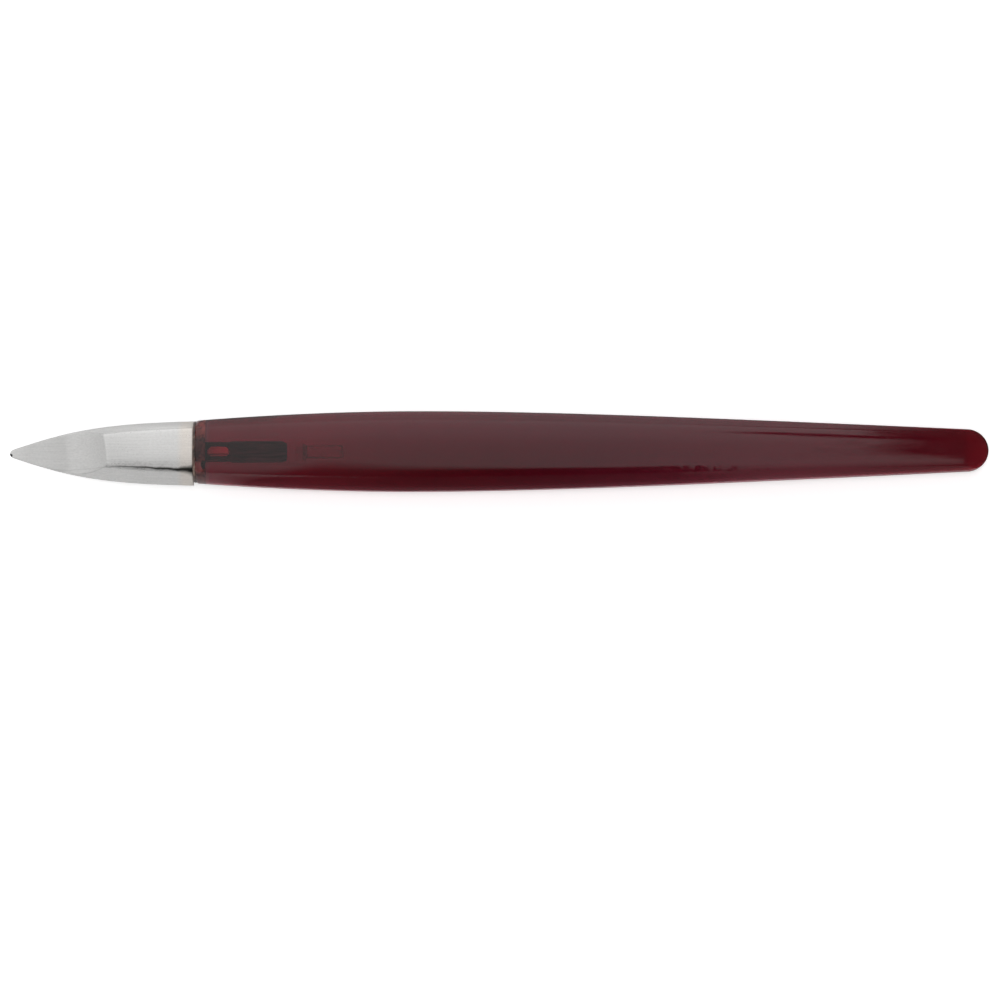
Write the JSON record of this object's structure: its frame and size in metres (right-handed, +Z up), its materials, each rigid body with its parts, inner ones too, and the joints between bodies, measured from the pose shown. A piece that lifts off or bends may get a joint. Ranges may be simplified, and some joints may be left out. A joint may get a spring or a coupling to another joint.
{
  "type": "lino cutter",
  "caption": "Lino cutter with a spear-pointed pressed-steel blade, ground flat in front of an arched shank, pushed into a slim tapered grip of clear wine-red plastic.",
  "frame": {"origin": "on the surface that the tool lies on, under the middle of its length and width", "axes": "+X from the blade's point towards the tail, +Z up from the blade's flat underside to its arched top, +Y across the tool"},
  "size_m": [0.15, 0.0124, 0.0124],
  "materials": {
    "grip_plastic": "polished clear plastic, deep wine red, see-through where it is thin",
    "blade_steel": "tumbled sheet steel with fine lengthwise streaks, and a matt ground facet on the leaf"
  },
  "bodies": {
    "handle": {"handle": "grip_plastic"},
    "blade": {"blade": "blade_steel"}
  },
  "joints": [
    {"name": "blade_pull", "type": "slide", "parent": "handle", "child": "blade", "axis": [-1, 0, 0], "range_m": [0, 0.02]}
  ]
}
